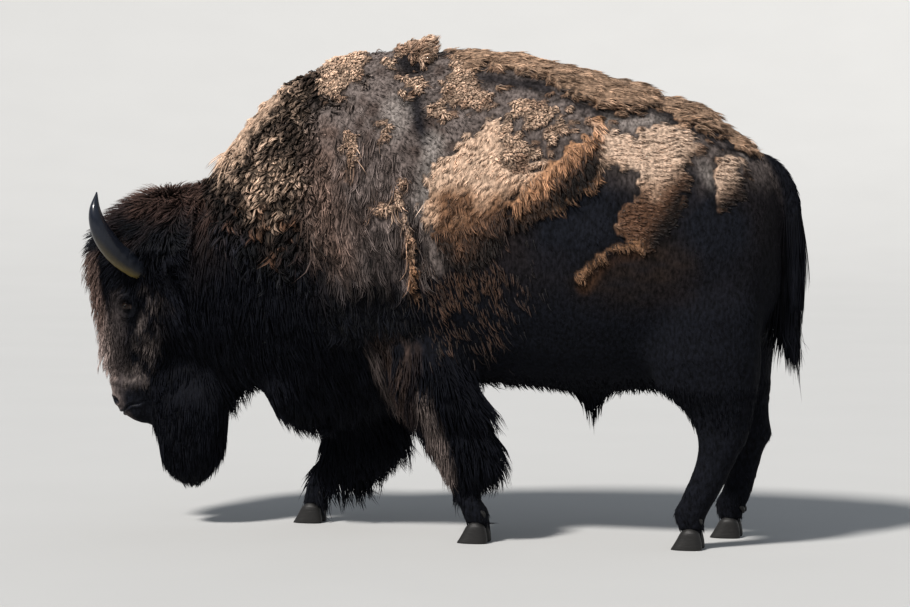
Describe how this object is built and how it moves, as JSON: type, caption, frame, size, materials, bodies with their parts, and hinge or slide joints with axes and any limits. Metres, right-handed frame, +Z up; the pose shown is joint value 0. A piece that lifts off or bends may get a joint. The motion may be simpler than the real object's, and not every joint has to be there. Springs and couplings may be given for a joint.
{
  "type": "american bison",
  "caption": "Life-size standing model of an adult american bison bull, walking with lowered head, its winter coat half shed in woolly patches.",
  "frame": {"origin": "on the floor, under the middle of the animal's bounding box", "axes": "-X towards the head, -Y towards the animal's left side, +Z up"},
  "size_m": [2.735, 0.752, 1.812],
  "materials": {
    "coat": "short dark new coat with matted tan-brown wool patches, dull",
    "dark_hair": "long black-brown hair, slightly glossy",
    "horn": "polished blue-black horn, yellowish olive at the base",
    "hoof": "dark dull hoof horn",
    "eye": "wet, nearly black brown eye"
  },
  "bodies": {
    "root": {"forelock": "dark_hair", "head": "dark_hair", "muzzle": "dark_hair", "lower_jaw": "dark_hair", "neck": "coat", "hump_and_chest": "coat", "barrel": "coat", "rump": "coat", "beard": "dark_hair", "sheath_tuft": "dark_hair", "tail": "dark_hair", "tail_switch": "dark_hair", "left_fore_upper_leg": "dark_hair", "left_fore_cannon": "dark_hair", "left_fore_pastern": "dark_hair", "left_fore_outer_claw": "hoof", "left_fore_inner_claw": "hoof", "right_fore_upper_leg": "dark_hair", "right_fore_cannon": "dark_hair", "right_fore_pastern": "dark_hair", "right_fore_outer_claw": "hoof", "right_fore_inner_claw": "hoof", "left_hind_thigh": "dark_hair", "left_hind_cannon": "dark_hair", "left_hind_pastern": "dark_hair", "left_hind_outer_claw": "hoof", "left_hind_inner_claw": "hoof", "right_hind_thigh": "dark_hair", "right_hind_cannon": "dark_hair", "right_hind_pastern": "dark_hair", "right_hind_outer_claw": "hoof", "right_hind_inner_claw": "hoof", "left_horn": "horn", "left_ear": "dark_hair", "left_eye": "eye", "right_horn": "horn", "right_ear": "dark_hair", "right_eye": "eye"}
  },
  "joints": []
}
